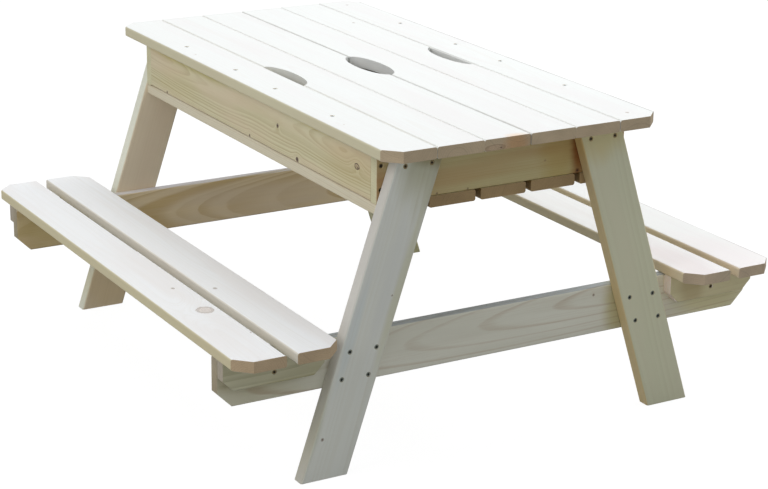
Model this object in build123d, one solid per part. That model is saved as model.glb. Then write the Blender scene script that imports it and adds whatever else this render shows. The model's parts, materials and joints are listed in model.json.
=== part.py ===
from build123d import *
import math
import os

os.makedirs("parts", exist_ok=True)

# Overall sizes, in millimetres
table_height = 590
seat_height = 271
board_thickness = 21
edge_ease = 2.5
cut_overrun = 40
cut_reach = 2400

# Table top
top_board_width = 94
top_length = 1126
panel_gap = 1
top_corner_cut = 29
boards_per_panel = 2
top_side_overhang = 24.5
top_end_overhang = 54

# Hand holes in the lids
grip_length = 165
grip_width = 56

# Sandbox under the top
apron_height = 93
slat_count = 5
slat_gap = 10.75

# Battens that hold each lid together
batten_width = 45
batten_end_inset = 9
batten_clearance = 5

# Legs
leg_width = 88
leg_thickness = 27
leg_head_inset = 28
leg_spread = 187

# Bench seats
seat_board_width = 90
seat_gap = 20
seat_leg_clearance = 30.5
seat_end_overhang = 67
seat_corner_cut = 29

# Cross beams and bench cleats
beam_height = 92
beam_end_inset = 3
beam_corner_cut = 29
cleat_height = 55
cleat_outer_inset = 4
cleat_inner_inset = 3
cleat_corner_cut = 21

# Wood screws, with few sides because there are many of them
screw_sides = 8
shank_diameter = 4.5
head_diameter = 9
head_height = 3.5
point_length = 4.5
tip_cover = 4
corner_screw_length = 50
top_screw_length = 50
slat_screw_length = 45

# Screw places
leg_screw_inset = 20
leg_head_screw_drop = 23
beam_screw_inset = 22
corner_screw_inset = 8
corner_screw_drop = 25
corner_screw_rise = 25
top_screw_row_shares = (0.0863, 0.316)
cleat_screw_rise = 21
slat_screw_inset = 16.5
batten_screw_inset = 20

# Levels, from the top down
top_underside = table_height - board_thickness
box_floor = top_underside - apron_height
slat_underside = box_floor - board_thickness
seat_underside = seat_height - board_thickness
beam_underside = seat_underside - beam_height
cleat_underside = seat_underside - cleat_height

# Planes across the table, from the middle out
lid_width = boards_per_panel * top_board_width
lid_inner_edge = panel_gap / 2
lid_outer_edge = lid_inner_edge + lid_width
top_half_width = lid_outer_edge + panel_gap + top_board_width
side_face = top_half_width - top_side_overhang
side_inner_face = side_face - board_thickness
box_width = 2 * side_face
slat_width = (box_width - (slat_count - 1) * slat_gap) / slat_count
batten_length = lid_width - 2 * batten_end_inset

# Planes along the table, from the near and far ends in
leg_outer_face = top_length / 2 - top_end_overhang
end_face = leg_outer_face - leg_thickness
end_inner_face = end_face - board_thickness
cleat_outer_face = end_face + board_thickness
box_length = 2 * end_face
seat_length = 2 * (cleat_outer_face + seat_end_overhang)
batten_row = end_inner_face - batten_clearance - batten_width / 2

# Splay of the legs, and the benches that follow it
leg_head_reach = side_face - leg_head_inset
leg_foot_reach = leg_head_reach + leg_spread
splay = math.atan2(leg_spread, top_underside)
leg_level_width = leg_width / math.cos(splay)
leg_at_seat = leg_foot_reach - seat_underside * math.tan(splay)
seat_inner_edge = leg_at_seat + seat_leg_clearance
seat_outer_edge = seat_inner_edge + 2 * seat_board_width + seat_gap
beam_length = 2 * (seat_outer_edge - beam_end_inset)
cleat_inner_end = seat_inner_edge + cleat_inner_inset
cleat_outer_end = seat_outer_edge - cleat_outer_inset
cleat_length = cleat_outer_end - cleat_inner_end
cleat_centre = (cleat_outer_end + cleat_inner_end) / 2

# Screws that must not come out on the other side
leg_screw_length = leg_thickness + board_thickness - tip_cover
board_screw_length = 2 * board_thickness - tip_cover
seat_screw_length = cleat_height + board_thickness - tip_cover
leg_screw_spread = leg_level_width - 2 * leg_screw_inset
beam_screw_spread = beam_height - 2 * beam_screw_inset
slat_screw_spread = slat_width - 2 * slat_screw_inset
batten_screw_spread = top_board_width - 2 * batten_screw_inset


# Boards of the planed stock with eased edges, centred on the origin
def board_section(width, thickness):
    outline = Rectangle(width, thickness)
    return chamfer(outline.vertices(), edge_ease)


def board_along_y(length, width, thickness):
    section = Plane.XZ * board_section(width, thickness)
    return extrude(section, length / 2, both=True)


def board_along_x(length, depth, height):
    section = Plane.YZ * board_section(depth, height)
    return extrude(section, length / 2, both=True)


# A square corner cut off along a vertical edge
def cut_plan_corner(shape, x, y, cut):
    wedge_size = cut * math.sqrt(2)
    wedge = Box(wedge_size, wedge_size, cut_reach)
    return shape - Pos(x, y, 0) * Rot(0, 0, 45) * wedge


# A lower corner cut off the end of a board on edge
def cut_lower_corner(shape, x, z, cut):
    wedge_size = cut * math.sqrt(2)
    wedge = Box(wedge_size, cut_reach, wedge_size)
    return shape - Pos(x, 0, z) * Rot(0, 45, 0) * wedge


# A corner of the many-sided ring that a screw has at a height
def ring_corner(diameter, z, index):
    turn = 2 * math.pi * index / screw_sides
    return Vector(diameter / 2 * math.cos(turn), diameter / 2 * math.sin(turn), z)


def flat_face(corners):
    return Face(Wire.make_polygon(corners))


# A turned shape with flat sides, given by its rings from the top down and its tip
def faceted_turning(rings, tip):
    top_diameter, top = rings[0]
    last_diameter, last = rings[-1]
    faces = [flat_face([ring_corner(top_diameter, top, index) for index in range(screw_sides)])]
    for (wide, upper), (narrow, lower) in zip(rings, rings[1:]):
        for index in range(screw_sides):
            corners = [ring_corner(wide, upper, index), ring_corner(wide, upper, index + 1)]
            corners += [ring_corner(narrow, lower, index + 1), ring_corner(narrow, lower, index)]
            faces.append(flat_face(corners))
    for index in range(screw_sides):
        corners = [ring_corner(last_diameter, last, index), ring_corner(last_diameter, last, index + 1)]
        faces.append(flat_face(corners + [Vector(0, 0, tip)]))
    return Solid(Shell(faces))


# A screw with its head up and flush with the face it is driven into, at the origin.
# The hole it leaves in the wood has the same shape.
def wood_screw(length):
    rings = [(head_diameter, 0), (shank_diameter, -head_height), (shank_diameter, point_length - length)]
    return faceted_turning(rings, -length)


# Turns that point the head of a screw out of a face
HEAD_UP = Rot(0, 0, 0)
HEAD_DOWN = Rot(180, 0, 0)
HEAD_TO_NEAR_END = Rot(90, 0, 0)
HEAD_TO_FAR_END = Rot(-90, 0, 0)


def head_to_end(side):
    return HEAD_TO_FAR_END if side > 0 else HEAD_TO_NEAR_END


# Horizontal distance from the middle to the centre line of a leg at a height
def leg_centre(z):
    outer = leg_foot_reach - z * math.tan(splay)
    return outer - leg_level_width / 2


# Places of every screw, as a turn and a position
def leg_beam_places():
    places = []
    for sx in (-1, 1):
        for sy in (-1, 1):
            for rise in (-1, 1):
                z = beam_underside + beam_height / 2 + rise * beam_screw_spread / 2
                for step in (-1, 1):
                    x = sx * leg_centre(z) + step * leg_screw_spread / 2
                    places.append(Pos(x, sy * leg_outer_face, z) * head_to_end(sy))
    return places


def leg_head_places():
    places = []
    z = top_underside - leg_head_screw_drop
    for sx in (-1, 1):
        for sy in (-1, 1):
            for step in (-1, 1):
                x = sx * leg_centre(z) + step * leg_screw_spread / 2
                places.append(Pos(x, sy * leg_outer_face, z) * head_to_end(sy))
    return places


def corner_places():
    places = []
    x = side_face - corner_screw_inset
    for z in (top_underside - corner_screw_drop, box_floor + corner_screw_rise):
        for sx in (-1, 1):
            for sy in (-1, 1):
                places.append(Pos(sx * x, sy * end_face, z) * head_to_end(sy))
    return places


def top_places():
    places = []
    x = side_face - board_thickness / 2
    for share in top_screw_row_shares:
        for sx in (-1, 1):
            for sy in (-1, 1):
                places.append(Pos(sx * x, sy * share * box_length, table_height) * HEAD_UP)
    return places


def cleat_places():
    places = []
    z = cleat_underside + cleat_screw_rise
    for sx in (-1, 1):
        for sy in (-1, 1):
            places.append(Pos(sx * cleat_centre, sy * cleat_outer_face, z) * head_to_end(sy))
    return places


def seat_places():
    places = []
    y = end_face + board_thickness / 2
    inner = seat_inner_edge + seat_board_width / 2
    outer = seat_outer_edge - seat_board_width / 2
    for x in (inner, outer):
        for sx in (-1, 1):
            for sy in (-1, 1):
                places.append(Pos(sx * x, sy * y, cleat_underside) * HEAD_DOWN)
    return places


def slat_centre(index):
    return (index - (slat_count - 1) / 2) * (slat_width + slat_gap)


def slat_places():
    places = []
    y = end_face - board_thickness / 2
    for index in range(slat_count):
        for step in (-1, 1):
            x = slat_centre(index) + step * slat_screw_spread / 2
            for sy in (-1, 1):
                places.append(Pos(x, sy * y, slat_underside) * HEAD_DOWN)
    return places


def lid_board_centre(side, index):
    return side * (lid_inner_edge + (index + 1 / 2) * top_board_width)


def batten_places(side):
    places = []
    z = top_underside - board_thickness
    for index in range(boards_per_panel):
        for step in (-1, 1):
            x = lid_board_centre(side, index) + step * batten_screw_spread / 2
            for sy in (-1, 1):
                places.append(Pos(x, sy * batten_row, z) * HEAD_DOWN)
    return places


# The holes of those screws that reach into a board
def drill(shape, places, length):
    box = shape.bounding_box()
    screw = wood_screw(length)
    holes = []
    for place in places:
        hole = place * screw
        reach = hole.bounding_box()
        apart_x = reach.max.X < box.min.X or reach.min.X > box.max.X
        apart_y = reach.max.Y < box.min.Y or reach.min.Y > box.max.Y
        apart_z = reach.max.Z < box.min.Z or reach.min.Z > box.max.Z
        if not (apart_x or apart_y or apart_z):
            holes.append(hole)
    return shape - holes if holes else shape


def screw_group(places, length):
    screw = wood_screw(length)
    return Compound(children=[place * screw for place in places])


# Table top boards, the outer two fixed and the middle four in two lids
def top_board(centre):
    level = top_underside + board_thickness / 2
    return Pos(centre, 0, level) * board_along_y(top_length, top_board_width, board_thickness)


def fixed_top_board(side):
    centre = side * (top_half_width - top_board_width / 2)
    shape = top_board(centre)
    for sy in (-1, 1):
        shape = cut_plan_corner(shape, side * top_half_width, sy * top_length / 2, top_corner_cut)
    return drill(shape, top_places(), top_screw_length)


def lid_board(side, index):
    shape = top_board(lid_board_centre(side, index))
    edge = side * (lid_outer_edge + panel_gap / 2) if index else 0
    hole = extrude(Pos(edge, 0, 0) * Ellipse(grip_width / 2, grip_length / 2), table_height + cut_overrun)
    shape = shape - hole
    return drill(shape, batten_places(side), board_screw_length)


def lid_batten(side, sy):
    centre = side * (lid_inner_edge + lid_width / 2)
    level = top_underside - board_thickness / 2
    shape = board_along_x(batten_length, batten_width, board_thickness)
    shape = Pos(centre, sy * batten_row, level) * shape
    return drill(shape, batten_places(side), board_screw_length)


# Sandbox walls and floor slats
def side_apron(side):
    centre = side * (side_face - board_thickness / 2)
    level = box_floor + apron_height / 2
    shape = board_along_y(2 * end_inner_face, board_thickness, apron_height)
    shape = Pos(centre, 0, level) * shape
    shape = drill(shape, corner_places(), corner_screw_length)
    return drill(shape, top_places(), top_screw_length)


def end_apron(sy):
    level = box_floor + apron_height / 2
    shape = board_along_x(box_width, board_thickness, apron_height)
    shape = Pos(0, sy * (end_face - board_thickness / 2), level) * shape
    shape = drill(shape, corner_places(), corner_screw_length)
    shape = drill(shape, leg_head_places(), leg_screw_length)
    return drill(shape, slat_places(), slat_screw_length)


def bottom_slat(index):
    level = slat_underside + board_thickness / 2
    shape = board_along_y(box_length, slat_width, board_thickness)
    shape = Pos(slat_centre(index), 0, level) * shape
    return drill(shape, slat_places(), slat_screw_length)


# Splayed legs with level heads and feet
def leg(sx, sy):
    half_height = top_underside / 2
    blank = board_section(leg_width, leg_thickness)
    blank = extrude(blank, half_height / math.cos(splay) + cut_overrun, both=True)
    blank = Rot(0, -sx * math.degrees(splay), 0) * blank
    place = Pos(sx * leg_centre(half_height), sy * (end_face + leg_thickness / 2), half_height)
    room = Pos(0, 0, half_height) * Box(cut_reach, cut_reach, top_underside)
    shape = (place * blank) & room
    shape = drill(shape, leg_head_places(), leg_screw_length)
    return drill(shape, leg_beam_places(), leg_screw_length)


# Cross beams from bench to bench, and the cleats under the seats
def cross_beam(sy):
    level = beam_underside + beam_height / 2
    shape = board_along_x(beam_length, board_thickness, beam_height)
    shape = Pos(0, sy * (end_face - board_thickness / 2), level) * shape
    for sx in (-1, 1):
        shape = cut_lower_corner(shape, sx * beam_length / 2, beam_underside, beam_corner_cut)
    shape = drill(shape, leg_beam_places(), leg_screw_length)
    return drill(shape, cleat_places(), board_screw_length)


def seat_cleat(sx, sy):
    level = cleat_underside + cleat_height / 2
    shape = board_along_x(cleat_length, board_thickness, cleat_height)
    shape = Pos(sx * cleat_centre, sy * (end_face + board_thickness / 2), level) * shape
    for end in (-1, 1):
        x = sx * cleat_centre + end * cleat_length / 2
        shape = cut_lower_corner(shape, x, cleat_underside, cleat_corner_cut)
    shape = drill(shape, cleat_places(), board_screw_length)
    return drill(shape, seat_places(), seat_screw_length)


# Bench seats of two boards each
def seat_board(sx, outer):
    edge = seat_outer_edge if outer else seat_inner_edge
    centre = edge - seat_board_width / 2 if outer else edge + seat_board_width / 2
    level = seat_underside + board_thickness / 2
    shape = board_along_y(seat_length, seat_board_width, board_thickness)
    shape = Pos(sx * centre, 0, level) * shape
    for sy in (-1, 1):
        shape = cut_plan_corner(shape, sx * edge, sy * seat_length / 2, seat_corner_cut)
    return drill(shape, seat_places(), seat_screw_length)


def save(name, shape):
    shape.label = name
    export_step(shape, os.path.join("parts", name + ".step"))


SIDES = (("left", -1), ("right", 1))
ENDS = (("near", -1), ("far", 1))
LID_BOARDS = (("inner_board", 0), ("outer_board", 1))


def save_top():
    for side_name, sx in SIDES:
        save("fixed_top_board_" + side_name, fixed_top_board(sx))
        for board_name, index in LID_BOARDS:
            save("lid_" + side_name + "_" + board_name, lid_board(sx, index))
        for end_name, sy in ENDS:
            save("lid_" + side_name + "_batten_" + end_name, lid_batten(sx, sy))
        save("lid_" + side_name + "_screws", screw_group(batten_places(sx), board_screw_length))


def save_box():
    for side_name, sx in SIDES:
        save("side_apron_" + side_name, side_apron(sx))
    for end_name, sy in ENDS:
        save("end_apron_" + end_name, end_apron(sy))
    for index in range(slat_count):
        save("bottom_slat_" + str(index + 1), bottom_slat(index))


def save_stand():
    for end_name, sy in ENDS:
        save("cross_beam_" + end_name, cross_beam(sy))
        for side_name, sx in SIDES:
            save("leg_" + end_name + "_" + side_name, leg(sx, sy))
            save("seat_cleat_" + end_name + "_" + side_name, seat_cleat(sx, sy))


def save_benches():
    for side_name, sx in SIDES:
        save("seat_board_" + side_name + "_inner", seat_board(sx, False))
        save("seat_board_" + side_name + "_outer", seat_board(sx, True))


def save_screws():
    save("leg_beam_screws", screw_group(leg_beam_places(), leg_screw_length))
    save("leg_head_screws", screw_group(leg_head_places(), leg_screw_length))
    save("apron_corner_screws", screw_group(corner_places(), corner_screw_length))
    save("top_board_screws", screw_group(top_places(), top_screw_length))
    save("seat_cleat_screws", screw_group(cleat_places(), board_screw_length))
    save("seat_board_screws", screw_group(seat_places(), seat_screw_length))
    save("bottom_slat_screws", screw_group(slat_places(), slat_screw_length))


save_top()
save_box()
save_stand()
save_benches()
save_screws()
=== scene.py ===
"""Picnic table with sandbox: boards, screws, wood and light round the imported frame."""
import json
import math
import random

import bmesh
import bpy
from mathutils import Matrix, Vector

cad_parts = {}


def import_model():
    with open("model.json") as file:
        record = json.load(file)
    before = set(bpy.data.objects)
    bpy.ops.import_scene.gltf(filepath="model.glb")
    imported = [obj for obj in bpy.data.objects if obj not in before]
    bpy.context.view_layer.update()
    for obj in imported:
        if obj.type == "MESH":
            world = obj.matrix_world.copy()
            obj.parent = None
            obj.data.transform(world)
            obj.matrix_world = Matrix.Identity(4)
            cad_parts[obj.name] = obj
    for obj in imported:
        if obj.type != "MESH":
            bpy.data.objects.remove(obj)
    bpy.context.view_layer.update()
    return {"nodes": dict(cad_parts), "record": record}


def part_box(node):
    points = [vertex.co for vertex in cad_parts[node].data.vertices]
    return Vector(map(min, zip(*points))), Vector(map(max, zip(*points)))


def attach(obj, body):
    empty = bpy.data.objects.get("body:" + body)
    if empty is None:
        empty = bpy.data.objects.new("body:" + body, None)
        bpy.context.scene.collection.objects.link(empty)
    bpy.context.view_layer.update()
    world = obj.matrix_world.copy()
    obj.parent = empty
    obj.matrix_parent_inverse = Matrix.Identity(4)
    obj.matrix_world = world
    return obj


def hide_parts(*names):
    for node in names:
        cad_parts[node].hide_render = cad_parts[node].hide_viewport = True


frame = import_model()
NODES = frame["nodes"]
SLOTS = {row["node"]: row["material_slot"] for row in frame["record"]["subparts"]}
BODY_OF = {node: body for body, nodes in frame["record"]["behaviour"]["bodies"].items() for node in nodes}
SCREW_NODES = sorted(node for node in NODES if node.endswith("screws"))
WOOD_NODES = sorted(node for node in NODES if not node.endswith("screws"))

MM = 0.001
PHOTO_WIDTH = 768
PHOTO_HEIGHT = 489

# Camera, worked out from the corners of the boards
FOCAL_PIXELS = 2079.98
CAMERA_PLACE = Vector((-1.95510, -3.41837, 1.52816))
CAMERA_YAW = 0.5276
CAMERA_PITCH = -0.3013
CAMERA_ROLL = 0.0142
OPTICAL_ROW = 206.0

# Legs lean by this much over their height
LEG_SPREAD = 187 * MM
LEG_HEIGHT = 569 * MM
LEG_WIDTH = 88 * MM
SPLAY = math.atan2(LEG_SPREAD, LEG_HEIGHT)

# Rounding of the boards' edges: the radius of long edges, and the share of it that others get
LONG_EDGE_ROUND = 1.5 * MM
END_EDGE_SHARE = 0.45
SEAM_EDGE_SHARE = 0.16
MIDDLE_SEAM_SHARE = 0.5
ROUNDING_STEPS = 3

# Which edges these are: the bend that counts as an edge, how near a seam an edge belongs to it,
# and how straight along the board and how long an edge has to be to count as a long one
LEAST_BEND = math.radians(22)
SEAM_REACH = 5 * MM
LEAST_ALONG = 0.95
LEAST_LONG_EDGE = 50 * MM

# Screw holes. The profile gives depth, radius and the share of the unevenness that the rim takes.
HEAD_HOLE_RADIUS = 4.5 * MM
SHANK_RADIUS = 2.25 * MM
RIM_UNEVENNESS = 0.14 * MM
HOLE_PROFILE = (
    (-1.5 * MM, 4.85 * MM, 1.0), (0.1 * MM, 4.8 * MM, 1.0), (0.75 * MM, 4.4 * MM, 0.0),
    (3.6 * MM, SHANK_RADIUS, 0.0),
)
HOLE_SPARE = 0.3 * MM
HOLE_STEPS = 24

# Screws
HEAD_RADIUS = 4.3 * MM
HEAD_SINK = 0.6 * MM
SCREW_STEPS = 48
RECESS_RADIUS = 2.35 * MM
RECESS_LOBE = 0.38 * MM
RECESS_RINGS = 2

# Bends from which an edge is shown crisp
CRISP_ANGLE = math.radians(38)
CRISP_STEEL_ANGLE = math.radians(40)

# Hand holes
GRIP_LENGTH = 165 * MM
GRIP_WIDTH = 56 * MM
GRIP_OVERRUN = 20 * MM
GRIP_STEPS = 120
SEAM_GAP = 1 * MM

# A knot: how far its outline wobbles and pushes the rings aside, as shares of its radius,
# how that push falls off, the rings of its own, and what a chain of knots adds up to
KNOT_WOBBLE = 0.45
KNOT_PUSH = 1.6
KNOT_FALL = -0.12
KNOT_RINGS = 19.0
KNOT_RING_TONE = 0.09
KNOT_COLOUR = (206, 172, 140)
KNOT_HEART_COLOUR = (66, 40, 24)
KNOT_SUMS = ("Swirl", "Mask", "Shade")

# Depths in millimetres of knots in a broad face, of knots in an end and of patches of colour and painted shade that
# go right through
FACE_KNOT_DEPTH = 1e6
END_KNOT_DEPTH = 30
STAIN_AND_SHADE_DEPTH = 1000

# Wood: how far the rings ripple, and what the seed of a board adds to its place and to its rings
RIPPLE = 2.2 * MM
SEED_STEP = (1.73, 5.19, 9.71)
RING_SEED_STEP = 7.3

# Relief of the surfaces
WOOD_BUMP = 0.25 * MM
STEEL_BUMP = 0.05 * MM

# Boards longer than this, in millimetres, have more knots
LONG_BOARD = 600

# The end grain of lid boards starts this far from their ends, and is full from the second distance on
LID_END_START = 12 * MM
LID_END_FULL = 6 * MM

# The rubbed long edges: how far in from the narrow and the broad faces they start, and where they are full
RUB_ACROSS_START = 3.5 * MM
RUB_THROUGH_START = 3.0 * MM
RUB_FULL = 0.5 * MM

# Surroundings: half the floor's side, and colours as linear light
FLOOR_HALF_SIDE = 30.0
FLOOR_WHITE = 0.94
FLOOR_SHADOW_COLOUR = (0.13, 0.13, 0.13, 1.0)
FLOOR_BOUNCE_COLOUR = (0.36, 0.36, 0.34, 1.0)
SKY_COLOUR = (0.97, 1.0, 1.04, 1.0)
SKY_STRENGTH = 0.45
WHITE = (1.0, 1.0, 1.0, 1.0)

# Lamps: name, place, target, size in metres, power in watts and colour
LAMPS = (
    ("key", (0.9, 0.6, 4.4), (0, 0, 0.4), 3.4, 75, (0.98, 1.0, 1.02)),
    ("right_key", (3.2, 0.3, 3.1), (0.3, 0, 0.4), 1.4, 33, (1.0, 1.0, 1.0)),
    ("left_fill", (-4.2, -0.6, 2.9), (0, 0, 0.4), 2.4, 61, (1.0, 0.99, 0.98)),
    ("front_fill", (-0.6, -4.2, 3.2), (0, 0, 0.4), 2.4, 6, (0.98, 1.0, 1.02)),
)


def srgb(red, green, blue):
    """A colour given as 0 to 255 screen values, as linear light."""
    def linear(value):
        value /= 255
        return value / 12.92 if value <= 0.04045 else ((value + 0.055) / 1.055) ** 2.4
    return (linear(red), linear(green), linear(blue), 1.0)


# Small helper for node trees
class Net:
    def __init__(self, tree):
        self.tree = tree
        self.nodes = tree.nodes
        self.nodes.clear()

    def add(self, kind, feeds=None, **settings):
        node = self.nodes.new(kind)
        for key, value in settings.items():
            setattr(node, key, value)
        for key, value in (feeds or {}).items():
            self.feed(node.inputs[key], value)
        return node

    def feed(self, socket, value):
        if isinstance(value, bpy.types.NodeSocket):
            self.tree.links.new(value, socket)
        else:
            socket.default_value = value

    def math(self, operation, *values, clamp=False):
        node = self.add("ShaderNodeMath", dict(enumerate(values)), operation=operation, use_clamp=clamp)
        return node.outputs[0]

    def plus(self, start, value, factor, clamp=False):
        """start + value * factor."""
        return self.math("ADD", start, self.math("MULTIPLY", value, factor), clamp=clamp)

    def centred(self, value):
        return self.math("SUBTRACT", value, 0.5)

    def vector(self, operation, *values):
        node = self.add("ShaderNodeVectorMath", dict(enumerate(values)), operation=operation)
        return node.outputs["Value" if operation in ("LENGTH", "DOT_PRODUCT") else "Vector"]

    def scaled(self, vector, factor):
        node = self.add("ShaderNodeVectorMath", {0: vector, "Scale": factor}, operation="SCALE")
        return node.outputs["Vector"]

    def noise(self, vector, scale, detail=2.0, rough=0.5, dimensions="3D", output="Fac"):
        feeds = {"Scale": scale, "Detail": detail, "Roughness": rough}
        feeds["W" if dimensions == "1D" else "Vector"] = vector
        node = self.add("ShaderNodeTexNoise", feeds, noise_dimensions=dimensions)
        return node.outputs[output]

    def grain(self, vector, along, across, detail=2.0, rough=0.5, output="Fac"):
        """Noise that changes slowly along the board and fast across it."""
        stretched = self.vector("MULTIPLY", vector, (along, across, across))
        return self.noise(stretched, 1.0, detail, rough, output=output)

    def ramp(self, value, low, high, to_low=0.0, to_high=1.0):
        feeds = {"Value": value, "From Min": low, "From Max": high, "To Min": to_low, "To Max": to_high}
        return self.add("ShaderNodeMapRange", feeds, interpolation_type="SMOOTHSTEP").outputs[0]

    def mix(self, share, first, second, blend="MIX"):
        node = self.add("ShaderNodeMix", data_type="RGBA", blend_type=blend)
        self.feed(node.inputs["Factor"], share)
        self.feed(node.inputs[6], first)
        self.feed(node.inputs[7], second)
        return node.outputs[2]

    def tinted(self, share, colour, tint):
        """The colour, and by that share the colour times the tint."""
        return self.mix(share, colour, self.mix(1.0, colour, tint, blend="MULTIPLY"))

    def xyz(self, vector):
        return self.add("ShaderNodeSeparateXYZ", {"Vector": vector}).outputs

    def combine(self, x, y, z):
        return self.add("ShaderNodeCombineXYZ", {"X": x, "Y": y, "Z": z}).outputs[0]


def new_group(name, inputs, outputs):
    """A node group, whose sockets are given as names for each kind."""
    tree = bpy.data.node_groups.new(name, "ShaderNodeTree")
    for direction, kinds in (("INPUT", inputs), ("OUTPUT", outputs)):
        for kind, names in kinds.items():
            for socket_name in names:
                tree.interface.new_socket(socket_name, in_out=direction, socket_type="NodeSocket" + kind)
    net = Net(tree)
    given = net.add("NodeGroupInput").outputs
    result = net.add("NodeGroupOutput").inputs
    return tree, net, given, result


def new_material(name):
    material = bpy.data.materials.new(name)
    material.use_nodes = True
    return material, Net(material.node_tree)


# A knot: it bends the rings round itself, and has rings of its own.
# Place and Point lie in the plane that shows it, and Depth is how far it reaches out of that plane.
def knot_group():
    inputs = {
        "Vector": ("Point", "Place"),
        "Float": ("Radius", "Stretch", "Depth", "Core", "Rim", *KNOT_SUMS),
    }
    tree, net, given, result = new_group("knot", inputs, {"Float": KNOT_SUMS})
    radius = given["Radius"]
    apart = net.xyz(net.vector("SUBTRACT", given["Point"], given["Place"]))
    wobble = net.centred(net.noise(given["Point"], 190.0, 1.0))
    along = net.math("DIVIDE", apart["X"], given["Stretch"])
    deep = net.math("DIVIDE", net.math("MULTIPLY", apart["Z"], radius), given["Depth"])
    flat = net.vector("LENGTH", net.combine(along, apart["Y"], deep))
    flat = net.plus(flat, wobble, net.math("MULTIPLY", radius, KNOT_WOBBLE))
    reach = net.math("DIVIDE", flat, radius)
    # The rings part round the knot and close again two or three radii away
    fall = net.math("EXPONENT", net.math("MULTIPLY", net.math("MULTIPLY", reach, reach), KNOT_FALL))
    push = net.math("MULTIPLY", fall, net.math("MULTIPLY", radius, KNOT_PUSH))
    inside = net.ramp(reach, 0.82, 1.06, 1.0, 0.0)
    wave = net.math("SINE", net.math("MULTIPLY", reach, KNOT_RINGS))
    rings = net.math("MULTIPLY", net.math("ADD", wave, 1.0), KNOT_RING_TONE)
    rim = net.math("MULTIPLY", net.ramp(reach, 0.66, 0.94), net.ramp(reach, 0.98, 1.16, 1.0, 0.0))
    heart = net.ramp(reach, 0.25, 0.85, 1.0, 0.0)
    shade = net.plus(net.plus(rings, rim, given["Rim"]), heart, given["Core"])
    whole = net.math("MAXIMUM", inside, rim)
    net.feed(result["Swirl"], net.math("ADD", given["Swirl"], push))
    net.feed(result["Mask"], net.math("MAXIMUM", given["Mask"], whole))
    net.feed(result["Shade"], net.math("MAXIMUM", given["Shade"], net.math("MULTIPLY", shade, whole)))
    return tree


# A soft patch: an oval part of the board takes on a tint, on some boards as the wood's own colour, on others as
# painted shade
def stain_and_shade_group():
    inputs = {"Vector": ("Point", "Place", "Reach"), "Color": ("Tint", "Color")}
    tree, net, given, result = new_group("stain_and_shade", inputs, {"Color": ("Color",)})
    apart = net.vector("DIVIDE", net.vector("SUBTRACT", given["Point"], given["Place"]), given["Reach"])
    cloud = net.centred(net.grain(given["Point"], 8.0, 40.0))
    far = net.plus(net.vector("LENGTH", apart), cloud, 0.6)
    strength = net.ramp(far, 0.3, 1.05, 1.0, 0.0)
    net.feed(result["Color"], net.tinted(strength, given["Color"], given["Tint"]))
    return tree


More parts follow.
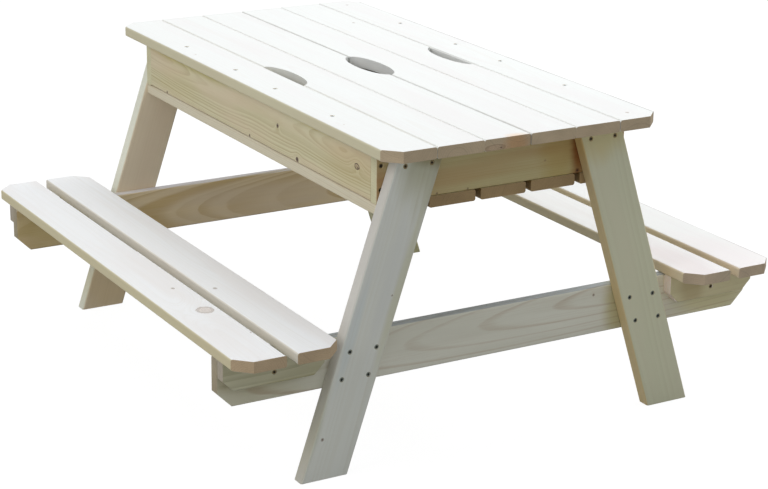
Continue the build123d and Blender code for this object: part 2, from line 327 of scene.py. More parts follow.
# Sawn pine: rings round a wandering pith, darker heartwood near it, fibres, resin streaks and end grain.
# Point is measured from the middle of the board: x along the grain, y across, z through.
def pine_group():
    inputs = {
        "Vector": ("Point", "Pith", "Tilt"),
        "Float": (
            "End", "Side", "Edge", "Seed", "Wander", "Ring Width", "Thin", "Contrast", "Bands", "Uneven", "Patches",
            "Heart Radius", *KNOT_SUMS,
        ),
        "Color": ("Early", "Late", "Patch", "Heart", "Side Tint With Painted Light", "End Color", "Rub"),
    }
    outputs = {"Color": ("Color",), "Float": ("Roughness", "Height")}
    tree, net, given, result = new_group("pine", inputs, outputs)
    own = given["Point"]
    point = net.vector("ADD", own, net.scaled(SEED_STEP, given["Seed"]))

    # Pith that leans and wanders along the board
    slow = net.grain(point, 1.7, 2.2, 1.5, output="Color")
    wander = net.scaled(net.vector("SUBTRACT", slow, (0.5, 0.5, 0.5)), given["Wander"])
    lean = net.scaled(given["Tilt"], net.xyz(own)["X"])
    off = net.vector("SUBTRACT", own, given["Pith"])
    off = net.vector("SUBTRACT", off, net.vector("ADD", lean, wander))
    distance = net.vector("LENGTH", net.vector("MULTIPLY", off, (0.0, 1.0, 1.0)))

    # Rings with uneven width and strength, pushed aside by knots
    distance = net.plus(distance, net.centred(net.grain(point, 5.0, 34.0)), RIPPLE)
    distance = net.math("ADD", distance, given["Swirl"])
    count = net.math("DIVIDE", distance, given["Ring Width"])
    place = net.plus(count, given["Seed"], RING_SEED_STEP)
    uneven = net.centred(net.noise(place, 0.33, 1.0, dimensions="1D"))
    count = net.plus(count, uneven, given["Uneven"])
    phase = net.math("FRACT", count)
    late = net.math("MULTIPLY", net.ramp(phase, given["Thin"], 0.90), net.ramp(phase, 0.92, 1.0, 1.0, 0.0))
    ring = net.math("ADD", net.math("FLOOR", count), given["Seed"])
    lot = net.add("ShaderNodeTexWhiteNoise", {"W": ring}, noise_dimensions="1D").outputs["Value"]
    late = net.math("MULTIPLY", late, net.ramp(lot, 0.0, 1.0, 0.35, 1.0))

    # Fibres, streaks and slow changes of tone
    fine = net.centred(net.grain(point, 9.0, 520.0, rough=0.6))
    broad = net.centred(net.grain(point, 1.6, 55.0))
    drift = net.grain(point, 2.4, 17.0)
    dash = net.math("MULTIPLY", net.ramp(net.grain(point, 45.0, 900.0, 1.0), 0.66, 0.78), 0.2)
    tone = net.math("MULTIPLY", late, given["Contrast"])
    tone = net.plus(tone, broad, given["Bands"])
    tone = net.plus(tone, fine, net.math("ADD", net.math("MULTIPLY", given["Contrast"], 0.35), 0.12))
    tone = net.plus(tone, dash, given["Contrast"], clamp=True)
    colour = net.mix(tone, given["Early"], given["Late"])
    patches = net.math("MULTIPLY", net.ramp(drift, 0.42, 0.68), given["Patches"])
    colour = net.mix(patches, colour, given["Patch"])
    inner = net.math("SUBTRACT", given["Heart Radius"], net.math("SUBTRACT", distance, given["Swirl"]))
    colour = net.tinted(net.ramp(inner, -0.004, 0.006), colour, given["Heart"])
    # The narrow faces take their own tint: partly the wood's own colour, partly painted light and shade
    colour = net.tinted(given["Side"], colour, given["Side Tint With Painted Light"])

    # End grain is darker and rougher, with plain rings
    pores = net.centred(net.noise(point, 800.0, 1.0))
    end_tone = net.plus(net.plus(1.07, late, -0.15), pores, 0.4)
    end_tone = net.plus(end_tone, net.centred(drift), 0.5)
    end_grey = net.combine(end_tone, end_tone, end_tone)
    colour = net.mix(given["End"], colour, net.mix(1.0, given["End Color"], end_grey, blend="MULTIPLY"))

    # Knots, then the rubbed long edges
    knot_wood = net.mix(0.3, colour, srgb(*KNOT_COLOUR))
    knot_colour = net.mix(given["Shade"], knot_wood, srgb(*KNOT_HEART_COLOUR))
    colour = net.mix(given["Mask"], colour, knot_colour)
    colour = net.tinted(given["Edge"], colour, given["Rub"])

    rough = net.plus(net.plus(0.62, late, -0.10), given["End"], 0.2)
    rough = net.plus(net.plus(rough, fine, 0.2), given["Mask"], -0.12)
    height = net.plus(net.math("MULTIPLY", fine, 0.8), late, 0.35)
    height = net.plus(height, net.math("MULTIPLY", given["Shade"], given["Mask"]), -0.8)
    height = net.plus(height, dash, -1.5)
    net.feed(result["Color"], colour)
    net.feed(result["Roughness"], rough)
    net.feed(result["Height"], height)
    return tree


KNOT = knot_group()
STAIN_AND_SHADE = stain_and_shade_group()
PINE = pine_group()


def unit(axis):
    """The direction of an axis, given as 0, 1 or 2."""
    return Vector([1.0 if axis == other else 0.0 for other in range(3)])


def board_axes(name):
    """The middle of a board, its size and its directions: along, across and through."""
    low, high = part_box(name)
    middle = (low + high) / 2
    size = high - low
    if name.startswith("leg"):
        side = 1 if middle.x > 0 else -1
        along = Vector((-side * math.sin(SPLAY), 0, math.cos(SPLAY)))
        across = Vector((math.cos(SPLAY), 0, side * math.sin(SPLAY)))
        lengths = (size.z / math.cos(SPLAY), LEG_WIDTH, size.y)
    else:
        order = sorted(range(3), key=lambda axis: -size[axis])
        along, across = (unit(axis) for axis in order[:2])
        lengths = tuple(size[axis] for axis in order)
    through = along.cross(across)
    return middle, lengths, Matrix((along, across, through)).transposed()


# Looks of the kinds of board. Colours are screen values, lengths are in millimetres.
# A knot is x, y, radius, stretch, darkness of its heart and of its rim, and one in an end also has z after y.
# A patch is x, y, half length, half width and a tint, and where it stays near one face also z and half depth; some
# patches are the wood's own colour, others painted shade.
# A tint of the narrow faces is partly the wood's own colour and partly painted light and shade; a tint above 255
# makes a face paler than the rest of its board, which is painted light.
DEFAULT_STYLE = {
    "early": (224, 214, 182), "late": (188, 160, 116), "patch": (214, 196, 160), "patches": 0.35,
    "heart": (236, 214, 180), "heart_radius": 0, "side": (250, 246, 238), "end": (188, 168, 136),
    "rub": (255, 254, 250), "ring": 3.4, "thin": 0.35, "contrast": 0.55, "bands": 0.35, "uneven": 2.2,
    "wander": 26, "knots": (), "end_knots": (), "stains_and_shade": (), "spare_knots": (0.3, 0.8),
}
KINDS = {
    "top_boards": {
        "early": (243, 244, 241), "late": (234, 230, 223), "patch": (241, 237, 235), "patches": 0.5,
        "side": (246, 246, 246), "end": (190, 171, 143), "rub": (244, 243, 239), "contrast": 0.3,
        "bands": 0.2, "ring": 3.2, "spare_knots": (0.05, 0.2),
    },
    "seat_boards": {
        "early": (247, 247, 246), "late": (236, 232, 226), "patch": (244, 239, 236), "patches": 0.5,
        "side": (240, 230, 212), "end": (190, 167, 136), "rub": (244, 242, 236), "contrast": 0.3,
        "bands": 0.2, "ring": 3.2, "spare_knots": (0.05, 0.2),
    },
    "sandbox_boards": {
        "early": (214, 204, 166), "late": (180, 152, 102), "patch": (196, 172, 124),
        # The dark tint of the narrow faces is painted shade, such as on the slat sides in their gaps
        "end": (168, 142, 104), "side": (168, 146, 112), "contrast": 0.5, "bands": 0.4, "ring": 2.6,
    },
    "legs": {
        "early": (224, 220, 192), "late": (198, 188, 156), "patch": (222, 212, 188), "patches": 0.45,
        # The cool tint of the narrow faces is painted cool light
        "side": (248, 250, 255), "ring": 8, "thin": 0.1, "contrast": 0.3, "bands": 0.4,
        "end": (190, 176, 148),
    },
    "beams": {
        "early": (214, 206, 172), "late": (176, 154, 112), "patch": (196, 186, 148), "patches": 0.5,
        # The cool tint of the narrow faces is painted cool shade on the top faces under the table
        "side": (222, 230, 246), "ring": 5, "thin": 0.15, "contrast": 0.45, "bands": 0.5,
        "end": (178, 168, 152),
    },
    "lid_battens": {},
}
BOARDS = {
    "side_apron_left": {
        "early": (219, 212, 178), "late": (174, 156, 98), "patch": (224, 202, 176), "patches": 0.5,
        "ring": 4.4, "thin": 0.12, "contrast": 0.75, "bands": 0.55, "pith": (24, 24),
        "tilt": (0.012, -0.01), "wander": 60, "heart": (240, 220, 160), "heart_radius": 17,
        "knots": (
            (-413, 4, 5.6, 1.5, 0.25, 1.3), (-416, 2, 2.4, 1.2, 1.3, 0.4),
            (-113, 5, 4.0, 1.1, 2.0, 1.0), (-191, -40, 5.0, 1.0, 2.2, 1.0),
            (3, -42, 3.6, 0.8, 1.6, 0.8), (381, -42, 3.0, 1.0, 1.2, 0.8),
        ),
        "stains_and_shade": (
            # The bands along the top edge, at y 42 and 44, are partly heartwood colour and partly painted shade
            # under the overhang of the top
            (-400, 0, 150, 60, (248, 242, 232)), (300, 42, 300, 20, (232, 226, 182)),
            (-260, 44, 260, 14, (238, 226, 176)), (330, -10, 130, 50, (252, 250, 244)),
        ),
    },
    "end_apron_near": {
        "early": (203, 190, 142), "late": (172, 142, 88), "patch": (190, 152, 106), "patches": 0.5,
        "ring": 2.0, "contrast": 0.4, "bands": 0.5, "pith": (150, 30), "tilt": (0.0, 0.0), "wander": 10,
        "side": (255, 252, 244), "end": (208, 202, 168),
        "knots": (
            (87, -13, 2.0, 1.2, 0.25, 0.2), (-138, -43, 2.4, 1.0, 0.8, 0.5),
            (-75, -43, 2.2, 1.0, 0.7, 0.5), (158, -41, 4.0, 1.0, 0.9, 0.5),
        ),
        "stains_and_shade": (
            # The reddish strips at x -256 and 160, next to the legs, are painted shade
            (-256, 0, 34, 120, (214, 176, 160), 16, 9), (160, 0, 24, 100, (190, 142, 104)),
            (120, 0, 60, 100, (244, 236, 212)), (-20, 40, 160, 16, (246, 236, 216)),
        ),
    },
    "end_apron_far": {"end": (208, 202, 168)},
    "bottom_slat_1": {
        "early": (224, 216, 196), "late": (198, 184, 152), "patch": (216, 204, 178),
        "side": (255, 254, 248),
    },
    "leg_near_left": {
        "early": (234, 235, 226), "late": (212, 208, 190), "patch": (222, 223, 218), "patches": 0.6,
        "side": (241, 236, 235),
        "knots": ((-229, -28, 3.0, 1.0, 0.8, 0.5), (43, 25, 1.8, 1.0, 0.4, 0.4)),
        "stains_and_shade": (
            # The darker patches at the top, at x 285 and 300, are painted shade under the top
            (285, 22, 110, 74, (222, 220, 204)), (300, 22, 34, 66, (206, 196, 168)),
            (-220, -50, 170, 15, (228, 228, 216)), (-40, -30, 120, 12, (246, 250, 255)),
            (60, 36, 200, 12, (246, 244, 228)),
        ),
    },
    "leg_near_right": {
        "early": (221, 220, 191), "late": (202, 198, 166), "patch": (222, 217, 190),
        # The warm tint of the narrow faces is painted shade with warm bounce light, and the patch at the top, at x
        # 285, painted shade under the top
        "side": (253, 230, 202), "stains_and_shade": ((285, 0, 70, 90, (250, 240, 216)),),
    },
    "leg_far_left": {
        "early": (238, 222, 196), "late": (224, 206, 174), "patch": (230, 210, 184), "contrast": 0.25,
        # The tint above 255 is painted light on the narrow face, and the patch at the top, at x 285, painted shade
        # near the top
        "bands": 0.35, "side": (255, 274, 288),
        "stains_and_shade": ((285, 0, 90, 90, (250, 246, 226)), (-250, 0, 80, 90, (246, 240, 224))),
    },
    "leg_far_right": {"early": (202, 198, 156), "late": (186, 178, 130), "patch": (194, 188, 146)},
    "cross_beam_near": {
        "early": (236, 234, 219), "late": (192, 170, 144), "patch": (213, 209, 191), "patches": 0.4,
        "ring": 11.6, "thin": 0.66, "contrast": 0.85, "bands": 0.35, "uneven": 0.2,
        # The dark cool tint of the narrow faces is painted shade on the top face under the table
        "side": (196, 204, 220), "pith": (14.3, 53.1), "tilt": (0.06, -0.0744), "wander": 5,
        "knots": ((207, 31, 2.6, 1.0, 0.6, 0.4),),
        "stains_and_shade": (
            (-500, 0, 150, 90, (226, 222, 206)), (490, 0, 150, 90, (250, 243, 210)),
            # The patch at x 262, next to the right leg, is painted shade, and the narrow band at x -450 is the
            # painted shadow of the cleat
            (262, 0, 42, 90, (224, 218, 186)), (-450, -6, 120, 9, (196, 194, 160)),
        ),
    },
    "cross_beam_far": {
        "early": (240, 220, 184), "late": (212, 184, 130), "patch": (226, 208, 184), "patches": 0.5,
        # The tint above 255 is painted light on the top face
        "ring": 7, "thin": 0.1, "contrast": 0.9, "bands": 0.5, "side": (249, 268, 322),
        "pith": (-15, 104), "tilt": (0.0, -0.078), "wander": 6,
        "stains_and_shade": ((-480, 0, 150, 90, (228, 224, 196)),),
    },
    "seat_cleat_near_left": {
        "early": (206, 202, 174), "late": (150, 146, 108), "patch": (180, 174, 138), "patches": 0.6,
        # The band along the lower edge, at y -30, is partly grain and partly painted shade
        "bands": 0.8, "stains_and_shade": ((60, -30, 150, 10, (216, 210, 178)),),
    },
    "seat_cleat_near_right": {
        "early": (219, 209, 169), "late": (198, 183, 140), "patch": (211, 201, 160),
        "end": (255, 246, 244), "stains_and_shade": ((-45, 0, 36, 60, (234, 227, 219)),),
    },
    "seat_cleat_far_left": {"early": (180, 168, 120), "late": (140, 118, 66), "patch": (160, 140, 90)},
    "fixed_top_board_left": {"side": (224, 216, 186)},
    "seat_board_left_outer": {
        "early": (250, 250, 250), "side": (220, 210, 174),
        "knots": (
            (-309, 19, 15, 1.1, 0.0, 0.26), (-180, 16, 3.4, 1.3, 0.4, 0.3),
            (-446, 40, 2.0, 1.2, 0.3, 0.2),
        ),
    },
    "seat_board_left_inner": {
        "early": (250, 250, 250), "side": (236, 231, 220), "knots": ((-215, -27, 3.8, 1.3, 0.35, 0.3),),
    },
    "seat_board_right_inner": {
        "early": (252, 252, 250), "side": (236, 226, 196), "end": (194, 178, 152),
        "stains_and_shade": ((-500, -20, 200, 90, (252, 247, 248)),),
    },
    "seat_board_right_outer": {
        "early": (252, 252, 249), "late": (244, 241, 236), "patch": (250, 247, 246),
        "side": (238, 226, 202), "end": (194, 178, 152),
        "stains_and_shade": (
            (-500, -20, 200, 90, (255, 250, 251)), (300, 0, 360, 120, (245, 247, 252)),
            # The grey line along the outer edge, at y 47, is painted shade
            (0, 47, 3000, 9, (204, 202, 200)),
        ),
    },
    "fixed_top_board_right": {
        "knots": ((-523, -4, 3.2, 1.2, 0.3, 0.3), (520, 2, 2.8, 1.2, 0.3, 0.3)),
        # The grey line along the outer edge, at y 49, is painted shade
        "stains_and_shade": ((0, 49, 3000, 10, (190, 190, 186)),),
    },
    "lid_right_outer_board": {"knots": ((353, 20, 3.0, 1.2, 0.3, 0.3),)},
    # The grey line along the middle seam, at y -50, is painted shade
    "lid_right_inner_board": {"stains_and_shade": ((0, -50, 3000, 6, (205, 205, 202)),)},
    "lid_left_inner_board": {
        "end_knots": ((-563, -26, 6.0, 6.0, 3.4, 0.0, 0.3), (-563, -14, 6.5, 1.6, 1.5, 1.0, 0.5)),
        "stains_and_shade": (
            # The grey line along the middle seam, at y 50, is painted shade
            (-563, 18, 24, 34, (255, 232, 210), 2, 30), (0, 50, 3000, 6, (205, 205, 202)),
        ),
    },
}


def knots_of(style, lengths, chance):
    """The knots of a board, seen in its broad face: those given for it, or now and then a small one."""
    if style["knots"] or style["stains_and_shade"]:
        return style["knots"]
    length, width = lengths[0] / MM, lengths[1] / MM
    knots = []
    for _ in range(chance.choice((0, 1, 1, 2) if length > LONG_BOARD else (0, 0, 1))):
        place = (chance.uniform(-0.85, 0.85) * length / 2, chance.uniform(-0.7, 0.7) * width / 2)
        darkness = chance.uniform(*style["spare_knots"])
        knots.append((*place, chance.uniform(1.4, 3.0), chance.uniform(1.1, 1.6), darkness, darkness * 0.7))
    return knots


def add_knots(net, point, style, knots):
    """Puts the knots of a board in a chain, and gives what they add up to."""
    rows = [(point, (x, y, 0), FACE_KNOT_DEPTH, *looks) for x, y, *looks in knots]
    if style["end_knots"]:
        parts = net.xyz(point)
        turned = net.combine(parts["Y"], parts["Z"], parts["X"])
        rows += [(turned, (y, z, x), END_KNOT_DEPTH, *looks) for x, y, z, *looks in style["end_knots"]]
    sums = dict.fromkeys(KNOT_SUMS, 0.0)
    for source, spot, depth, radius, stretch, core, rim in rows:
        feeds = {
            "Point": source, "Place": [value * MM for value in spot], "Radius": radius * MM,
            "Stretch": stretch, "Depth": depth * MM, "Core": core, "Rim": rim, **sums,
        }
        knot = net.add("ShaderNodeGroup", feeds, node_tree=KNOT)
        sums = {key: knot.outputs[key] for key in sums}
    return sums


def add_stains_and_shade(net, point, style, colour):
    """The colour of a board with its patches laid over it one after the other: some are the wood's own colour,
    others painted shade.
    """
    for x, y, half_length, half_width, tint, *depth in style["stains_and_shade"]:
        z, half_depth = depth or (0, STAIN_AND_SHADE_DEPTH)
        feeds = {
            "Point": point, "Place": (x * MM, y * MM, z * MM),
            "Reach": (half_length * MM, half_width * MM, half_depth * MM),
            "Tint": srgb(*tint), "Color": colour,
        }
        colour = net.add("ShaderNodeGroup", feeds, node_tree=STAIN_AND_SHADE).outputs[0]
    return colour


def wood_material(name):
    chance = random.Random("wood of " + name)
    middle, lengths, axes = board_axes(name)
    half = [length / 2 for length in lengths]
    style = {**DEFAULT_STYLE, **KINDS[SLOTS[name]], **BOARDS.get(name, {})}

    material, net = new_material(name + "_pine")
    coordinates = net.add("ShaderNodeTexCoord").outputs
    feeds = {"Vector": coordinates["Object"], "Location": middle, "Rotation": axes.to_euler()}
    point = net.add("ShaderNodeMapping", feeds, vector_type="TEXTURE").outputs[0]

    def facing(direction, low, high):
        towards = net.math("ABSOLUTE", net.vector("DOT_PRODUCT", coordinates["Normal"], tuple(direction)))
        return net.ramp(towards, low, high)

    end = facing(axes.col[0], 0.35 if name.startswith("leg") else 0.45, 0.68)
    side = facing(axes.col[1], 0.35, 0.9)
    place = net.xyz(net.vector("ABSOLUTE", point))
    if name.startswith("lid"):
        # The curved edge of a hand hole isn't an end of the board
        end = net.math("MULTIPLY", end, net.ramp(place["X"], half[0] - LID_END_START, half[0] - LID_END_FULL))
    rub_across = net.ramp(place["Y"], half[1] - RUB_ACROSS_START, half[1] - RUB_FULL)
    rub_through = net.ramp(place["Z"], half[2] - RUB_THROUGH_START, half[2] - RUB_FULL)

    sums = add_knots(net, point, style, knots_of(style, lengths, chance))
    pith = (chance.uniform(-60, 60), chance.choice((-1, 1)) * chance.uniform(18, 60))
    pith = style.get("pith", pith)
    tilt = (chance.uniform(-0.02, 0.02), chance.uniform(-0.02, 0.02))
    tilt = style.get("tilt", tilt)
    feeds = {
        "Point": point, "End": end, "Side": side, "Edge": net.math("MULTIPLY", rub_across, rub_through),
        "Seed": chance.uniform(0, 40), "Pith": (0, pith[0] * MM, pith[1] * MM), "Tilt": (0, *tilt),
        "Wander": style["wander"] * MM, "Ring Width": style["ring"] * MM,
        "Heart Radius": style["heart_radius"] * MM,
        "Side Tint With Painted Light": srgb(*style["side"]), "End Color": srgb(*style["end"]), **sums,
    }
    feeds.update({key: style[key.lower()] for key in ("Thin", "Contrast", "Bands", "Uneven", "Patches")})
    feeds.update({key: srgb(*style[key.lower()]) for key in ("Early", "Late", "Patch", "Heart", "Rub")})
    pine = net.add("ShaderNodeGroup", feeds, node_tree=PINE).outputs
    bump = net.add("ShaderNodeBump", {"Strength": 0.5, "Distance": WOOD_BUMP, "Height": pine["Height"]})
    shader = net.add("ShaderNodeBsdfPrincipled", {
        "Base Color": add_stains_and_shade(net, point, style, pine["Color"]), "Roughness": pine["Roughness"],
        "Normal": bump.outputs[0], "IOR": 1.45, "Specular IOR Level": 0.35,
    })
    net.add("ShaderNodeOutputMaterial", {"Surface": shader.outputs[0]})
    return material


# Screws read from the frame: the middle of each head and the way it faces
def islands(mesh):
    shape = bmesh.new()
    shape.from_mesh(mesh)
    bmesh.ops.remove_doubles(shape, verts=shape.verts, dist=1e-5)
    shape.verts.ensure_lookup_table()
    seen, groups = set(), []
    for start in shape.verts:
        if start in seen:
            continue
        group, waiting = [], [start]
        seen.add(start)
        while waiting:
            vertex = waiting.pop()
            group.append(vertex.co.copy())
            for link in vertex.link_edges:
                other = link.other_vert(vertex)
                if other not in seen:
                    seen.add(other)
                    waiting.append(other)
        groups.append(group)
    shape.free()
    return groups


def screw_of(points):
    """Head middle, outward direction and length of the screw with these corners."""
    low = Vector([min(point[axis] for point in points) for axis in range(3)])
    high = Vector([max(point[axis] for point in points) for axis in range(3)])
    size = high - low
    axis = max(range(3), key=lambda i: size[i])
    outward = unit(axis)
    at_high = sum(1 for point in points if high[axis] - point[axis] < 0.0001)
    head = (low + high) / 2
    head[axis] = high[axis]
    if at_high < 4:
        outward.negate()
        head[axis] = low[axis]
    return head, outward, size[axis]


SCREWS = {node: [screw_of(group) for group in islands(NODES[node].data)] for node in SCREW_NODES}
ALL_SCREWS = [screw for node in SCREW_NODES for screw in SCREWS[node]]


# Turned cutters and screws are rings of points round a line
def ring_of_points(shape, middle, side, other, radii):
    steps = len(radii)
    turns = [2 * math.pi * step / steps for step in range(steps)]
    directions = [side * math.cos(turn) + other * math.sin(turn) for turn in turns]
    return [shape.verts.new(middle + direction * radius) for direction, radius in zip(directions, radii)]


def join_rings(shape, rings, second_material=0):
    """Closes the rings into one form, whose first rows of faces can have the second material."""
    for row, (upper, lower) in enumerate(zip(rings, rings[1:])):
        for step in range(len(upper)):
            following = (step + 1) % len(upper)
            face = shape.faces.new((upper[step], upper[following], lower[following], lower[step]))
            face.material_index = 1 if row < second_material else 0
    start = shape.faces.new(rings[0][::-1])
    start.material_index = 1 if second_material else 0
    shape.faces.new(rings[-1])


def across_and_other(outward):
    helper = Vector((1, 0, 0)) if abs(outward.x) < 0.5 else Vector((0, 1, 0))
    side = outward.cross(helper).normalized()
    return side, outward.cross(side)


def new_piece(name, shape):
    mesh = bpy.data.meshes.new(name)
    shape.to_mesh(mesh)
    shape.free()
    piece = bpy.data.objects.new(name, mesh)
    bpy.context.collection.objects.link(piece)
    return piece


def work_in_modifiers(piece):
    """Replaces the mesh of a piece by what its modifiers make of it."""
    old = piece.data
    bpy.context.view_layer.update()
    evaluated = piece.evaluated_get(bpy.context.evaluated_depsgraph_get())
    piece.data = bpy.data.meshes.new_from_object(evaluated)
    piece.modifiers.clear()
    bpy.data.meshes.remove(old)


def cut(piece, shape):
    """Takes the closed forms in shape out of the piece."""
    bmesh.ops.recalc_face_normals(shape, faces=shape.faces)
    cutter = new_piece("cutter", shape)
    difference = piece.modifiers.new("cut", "BOOLEAN")
    difference.object = cutter
    difference.solver = "EXACT"
    difference.use_self = False
    work_in_modifiers(piece)
    bpy.data.objects.remove(cutter)


def screws_in(name):
    """The screws that pass through a board, with the depth at which they enter it."""
    low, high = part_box(name)
    slack = 0.01 * MM
    found = []
    for head, outward, length in ALL_SCREWS:
        tip = head - outward * length
        first = Vector(map(min, head, tip))
        last = Vector(map(max, head, tip))
        if all(first[axis] < high[axis] - slack and last[axis] > low[axis] + slack for axis in range(3)):
            found.append((head, outward, length))
    return found


def screw_holes(name, chance):
    """A round hole for every screw that meets the board, with a slightly torn countersink at the face."""
    shape = bmesh.new()
    for head, outward, length in screws_in(name):
        side, other = across_and_other(outward)
        torn = [chance.uniform(-1, 1) * RIM_UNEVENNESS for _ in range(HOLE_STEPS)]
        rings = []
        for depth, radius, tear in HOLE_PROFILE + ((length + HOLE_SPARE, SHANK_RADIUS, 0.0),):
            radii = [radius + tear * share for share in torn]
            rings.append(ring_of_points(shape, head - outward * depth, side, other, radii))
        join_rings(shape, rings)
    return shape


def hand_hole(x):
    """The oval cut through the lids at a seam."""
    shape = bmesh.new()
    low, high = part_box("lid_left_inner_board")
    rings = []
    for z in (high.z + GRIP_OVERRUN, low.z - GRIP_OVERRUN):
        ring = []
        for step in range(GRIP_STEPS):
            turn = 2 * math.pi * (step + 0.5) / GRIP_STEPS
            across, along = GRIP_WIDTH / 2 * math.cos(turn), GRIP_LENGTH / 2 * math.sin(turn)
            ring.append(shape.verts.new((x + across, along, z)))
        rings.append(ring)
    join_rings(shape, rings)
    return shape


def grip_line(name):
    """The seam whose hand hole this board shares, or None."""
    if not name.endswith(("inner_board", "outer_board")):
        return None
    if name.endswith("inner_board"):
        return 0.0
    low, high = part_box(name)
    return high.x + SEAM_GAP / 2 if high.x > 0 else low.x - SEAM_GAP / 2


def hull_of(name):
    """The board without its screw holes, from the corners of its CAD solid."""
    shape = bmesh.new()
    screws = screws_in(name)
    for vertex in NODES[name].data.vertices:
        if not any(close_to_screw(vertex.co, screw) for screw in screws):
            shape.verts.new(vertex.co)
    bmesh.ops.remove_doubles(shape, verts=shape.verts, dist=3e-6)
    bmesh.ops.convex_hull(shape, input=shape.verts)
    loose = [vertex for vertex in shape.verts if not vertex.link_faces]
    bmesh.ops.delete(shape, geom=loose, context="VERTS")
    bmesh.ops.dissolve_limit(shape, angle_limit=math.radians(1.0), verts=shape.verts, edges=shape.edges)
    return shape


def close_to_screw(point, screw):
    head, outward, length = screw
    apart = point - head
    depth = -apart.dot(outward)
    return -MM < depth < length + MM and (apart + outward * depth).length < HEAD_HOLE_RADIUS + 0.3 * MM


def weigh_edges(piece, along, seams_within):
    """Long edges get the full rounding, and the edges of sawn ends and of tight seams a small one."""
    shape = bmesh.new()
    shape.from_mesh(piece.data)
    bmesh.ops.dissolve_limit(shape, angle_limit=math.radians(0.5), verts=shape.verts, edges=shape.edges)
    weight = shape.edges.layers.float.new("bevel_weight_edge")
    for edge in shape.edges:
        if edge.calc_face_angle(0) <= LEAST_BEND:
            continue
        first, second = (vertex.co for vertex in edge.verts)
        run = second - first
        from_middle = max(abs(first.x), abs(second.x))
        if from_middle < seams_within:
            edge[weight] = MIDDLE_SEAM_SHARE if from_middle < SEAM_REACH else SEAM_EDGE_SHARE
        elif abs(run.normalized().dot(along)) > LEAST_ALONG and run.length > LEAST_LONG_EDGE:
            edge[weight] = 1.0
        else:
            edge[weight] = END_EDGE_SHARE
    shape.to_mesh(piece.data)
    shape.free()


def round_edges(piece):
    bevel = piece.modifiers.new("rounded_edges", "BEVEL")
    bevel.limit_method = "WEIGHT"
    bevel.width = LONG_EDGE_ROUND
    bevel.segments = ROUNDING_STEPS
    bevel.use_clamp_overlap = False
    work_in_modifiers(piece)


def finish_mesh(piece):
    """Flat faces in triangles, smooth rounding and crisp rims."""
    shape = bmesh.new()
    shape.from_mesh(piece.data)
    bmesh.ops.remove_doubles(shape, verts=shape.verts, dist=1e-7)
    bmesh.ops.triangulate(shape, faces=[face for face in shape.faces if len(face.verts) > 4])
    for face in shape.faces:
        face.smooth = True
    for edge in shape.edges:
        edge.smooth = edge.calc_face_angle(0) < CRISP_ANGLE
    shape.to_mesh(piece.data)
    shape.free()
    normals = piece.modifiers.new("even_normals", "WEIGHTED_NORMAL")
    normals.keep_sharp = True
    normals.weight = 80


def board(name):
    """A board of the frame with rounded edges and countersunk screw holes."""
    chance = random.Random("board " + name)
    piece = new_piece(name + "_wood", hull_of(name))
    seam = grip_line(name)
    if seam is not None:
        cut(piece, hand_hole(seam))
    seams_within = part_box("fixed_top_board_right")[1].x - SEAM_REACH if SLOTS[name] == "top_boards" else 0
    weigh_edges(piece, board_axes(name)[2].col[0], seams_within)
    round_edges(piece)
    cut(piece, screw_holes(name, chance))
    finish_mesh(piece)
    piece.data.materials.clear()
    piece.data.materials.append(wood_material(name))
    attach(piece, BODY_OF[name])
    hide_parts(name)


for wood_name in WOOD_NODES:
    board(wood_name)


# Screws with a round head, a six-lobed recess, a cone under the head and a pointed shank
def recess_radius(turn):
    """The outline of the recess at an angle round the head."""
    return RECESS_RADIUS + RECESS_LOBE * math.cos(6 * turn)


def screw_rings(length):
    """Rings from the bottom of the recess to the tip: depth, radius and share of the recess outline."""
    shank = SHANK_RADIUS - 0.15 * MM
    length -= HEAD_SINK
    return [
        (2.0 * MM, 0.0, 0.8), (0.2 * MM, 0.0, 1.0), (0.05 * MM, 0.0, 1.08),
        (0.0, 3.5 * MM, None), (0.12 * MM, HEAD_RADIUS - 0.25 * MM, None), (0.35 * MM, HEAD_RADIUS, None),
        (0.65 * MM, HEAD_RADIUS - 0.05 * MM, None),
        (2.9 * MM, shank, None), (length - 6.0 * MM, shank, None), (length - 1.0 * MM, 0.25 * MM, None),
    ]


def add_screw(shape, head, outward, length, spin):
    side, other = across_and_other(outward)
    turned = (side * math.cos(spin) + other * math.sin(spin), other * math.cos(spin) - side * math.sin(spin))
    rings = []
    for depth, radius, share in screw_rings(length):
        turns = [2 * math.pi * step / SCREW_STEPS for step in range(SCREW_STEPS)]
        radii = [recess_radius(turn) * share if share else radius for turn in turns]
        rings.append(ring_of_points(shape, head - outward * (HEAD_SINK + depth), *turned, radii))
    join_rings(shape, rings, RECESS_RINGS)


def steel_material(name, pale, dull, specks, metallic):
    material, net = new_material(name)
    place = net.add("ShaderNodeTexCoord").outputs["Object"]
    cloud = net.noise(place, 420.0, 3.0, 0.6)
    scratch = net.noise(place, 2600.0, 2.0, 0.6)
    colour = net.mix(net.ramp(cloud, 0.35, 0.7), srgb(*pale), srgb(*dull))
    colour = net.mix(net.ramp(scratch, 0.58, 0.8), colour, srgb(*specks))
    rough = net.plus(0.32, cloud, 0.25)
    bump = net.add("ShaderNodeBump", {"Strength": 0.35, "Distance": STEEL_BUMP, "Height": scratch})
    shader = net.add("ShaderNodeBsdfPrincipled", {
        "Base Color": colour, "Roughness": rough, "Metallic": metallic, "Normal": bump.outputs[0],
    })
    net.add("ShaderNodeOutputMaterial", {"Surface": shader.outputs[0]})
    return material


STEEL = steel_material("zinc_plated_steel", (120, 125, 117), (86, 90, 82), (60, 61, 53), 1.0)
# The recess steel is dark: painted shade in the deep recess
RECESS = steel_material("recess_steel", (27, 29, 24), (17, 18, 14), (10, 10, 7), 0.6)
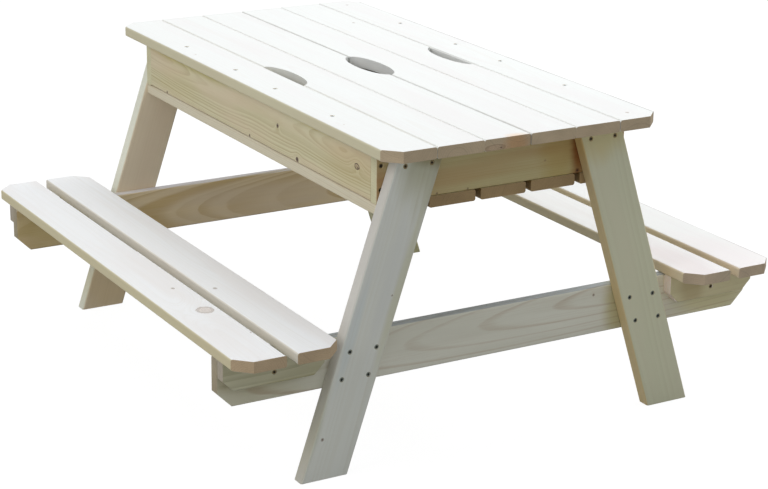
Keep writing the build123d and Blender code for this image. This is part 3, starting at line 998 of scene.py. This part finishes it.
# Copies of the same steel: a warm dark one with painted shade and warm reflection for the screws under the top and
# seats, and a pale one with painted light for the screws in the top
WARM_SHADED_STEEL = steel_material("steel_with_painted_warm_shade", (128, 116, 88), (98, 86, 60), (70, 58, 36), 0.9)
WARM_SHADED_RECESS = steel_material("recess_steel_with_painted_warm_shade", (42, 34, 18), (30, 23, 11), (18, 13, 6), 0.6)
PALE_LIT_STEEL = steel_material("zinc_plated_steel_with_painted_light", (222, 226, 225), (205, 211, 209), (182, 188, 186), 0.5)
PALE_LIT_RECESS = steel_material("recess_steel_with_painted_light", (150, 157, 157), (130, 138, 138), (112, 118, 118), 0.5)
# Screws that take the copies with painted light and shade
SCREW_LIGHT_COPIES = {
    "top_board_screws": (PALE_LIT_STEEL, PALE_LIT_RECESS),
    "leg_head_screws": (WARM_SHADED_STEEL, WARM_SHADED_RECESS),
    "apron_corner_screws": (WARM_SHADED_STEEL, WARM_SHADED_RECESS),
    "seat_cleat_screws": (WARM_SHADED_STEEL, WARM_SHADED_RECESS),
}


def screw_piece(node):
    chance = random.Random("screws " + node)
    shape = bmesh.new()
    for head, outward, length in SCREWS[node]:
        add_screw(shape, head, outward, length, chance.uniform(0, math.pi / 2))
    bmesh.ops.recalc_face_normals(shape, faces=shape.faces)
    for edge in shape.edges:
        edge.smooth = edge.calc_face_angle(0) < CRISP_STEEL_ANGLE
    for face in shape.faces:
        face.smooth = True
    piece = new_piece(node + "_steel", shape)
    for material in SCREW_LIGHT_COPIES.get(node, (STEEL, RECESS)):
        piece.data.materials.append(material)
    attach(piece, BODY_OF[node])
    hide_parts(node)


for screw_node in SCREW_NODES:
    screw_piece(screw_node)


# Floor: white to the camera with the object's soft shadow, duller for the light it throws back
def seen_directly(net):
    path = net.add("ShaderNodeLightPath").outputs
    mirrored = net.math("MAXIMUM", path["Is Glossy Ray"], path["Is Transmission Ray"])
    return net.math("MAXIMUM", path["Is Camera Ray"], mirrored)


def floor():
    shape = bmesh.new()
    bmesh.ops.create_grid(shape, x_segments=4, y_segments=4, size=FLOOR_HALF_SIDE)
    piece = new_piece("floor", shape)
    material, net = new_material("pale_floor")
    shadowed = net.add("ShaderNodeBsdfDiffuse", {"Color": FLOOR_SHADOW_COLOUR})
    white = net.add("ShaderNodeEmission", {"Color": WHITE, "Strength": FLOOR_WHITE})
    shown = net.add("ShaderNodeAddShader", {0: shadowed.outputs[0], 1: white.outputs[0]})
    dull = net.add("ShaderNodeBsdfDiffuse", {"Color": FLOOR_BOUNCE_COLOUR})
    both = net.add("ShaderNodeMixShader", {0: seen_directly(net), 1: dull.outputs[0], 2: shown.outputs[0]})
    # Seen from underneath, the floor is clear, so that the bottom of the table shows
    clear = net.add("ShaderNodeBsdfTransparent")
    back = net.add("ShaderNodeNewGeometry").outputs["Backfacing"]
    below = net.math("MULTIPLY", back, net.add("ShaderNodeLightPath").outputs["Is Camera Ray"])
    one_sided = net.add("ShaderNodeMixShader", {0: below, 1: both.outputs[0], 2: clear.outputs[0]})
    net.add("ShaderNodeOutputMaterial", {"Surface": one_sided.outputs[0]})
    piece.data.materials.append(material)


def world():
    scene_world = bpy.data.worlds.new("studio")
    bpy.context.scene.world = scene_world
    scene_world.use_nodes = True
    net = Net(scene_world.node_tree)
    seen = seen_directly(net)
    colour = net.mix(seen, SKY_COLOUR, WHITE)
    strength = net.ramp(seen, 0.0, 1.0, SKY_STRENGTH, 1.0)
    light = net.add("ShaderNodeBackground", {"Color": colour, "Strength": strength})
    net.add("ShaderNodeOutputWorld", {"Surface": light.outputs[0]})


def lamp(name, place, target, size, power, colour):
    data = bpy.data.lights.new(name, "AREA")
    data.shape = "SQUARE"
    data.size = size
    data.energy = power
    data.color = colour
    piece = bpy.data.objects.new(name, data)
    bpy.context.collection.objects.link(piece)
    piece.location = place
    piece.rotation_euler = (Vector(target) - Vector(place)).to_track_quat("-Z", "Y").to_euler()
    piece.visible_camera = False


def camera():
    ahead = Vector((math.sin(CAMERA_YAW), math.cos(CAMERA_YAW), 0))
    forward = ahead * math.cos(CAMERA_PITCH) + Vector((0, 0, math.sin(CAMERA_PITCH)))
    right = Vector((math.cos(CAMERA_YAW), -math.sin(CAMERA_YAW), 0))
    up = right.cross(forward)
    level = right * math.cos(CAMERA_ROLL) + up * math.sin(CAMERA_ROLL)
    upright = up * math.cos(CAMERA_ROLL) - right * math.sin(CAMERA_ROLL)
    data = bpy.data.cameras.new("camera")
    data.sensor_fit = "HORIZONTAL"
    data.sensor_width = 36.0
    data.lens = FOCAL_PIXELS / PHOTO_WIDTH * data.sensor_width
    data.shift_y = (OPTICAL_ROW - PHOTO_HEIGHT / 2) / PHOTO_WIDTH
    data.clip_end = 100.0
    piece = bpy.data.objects.new("camera", data)
    bpy.context.collection.objects.link(piece)
    turn = Matrix((level, upright, -forward)).transposed().to_4x4()
    piece.matrix_world = Matrix.Translation(CAMERA_PLACE) @ turn
    bpy.context.scene.camera = piece


floor()
world()
for lamp_row in LAMPS:
    lamp(*lamp_row)
camera()
bpy.context.scene.view_settings.view_transform = "Standard"
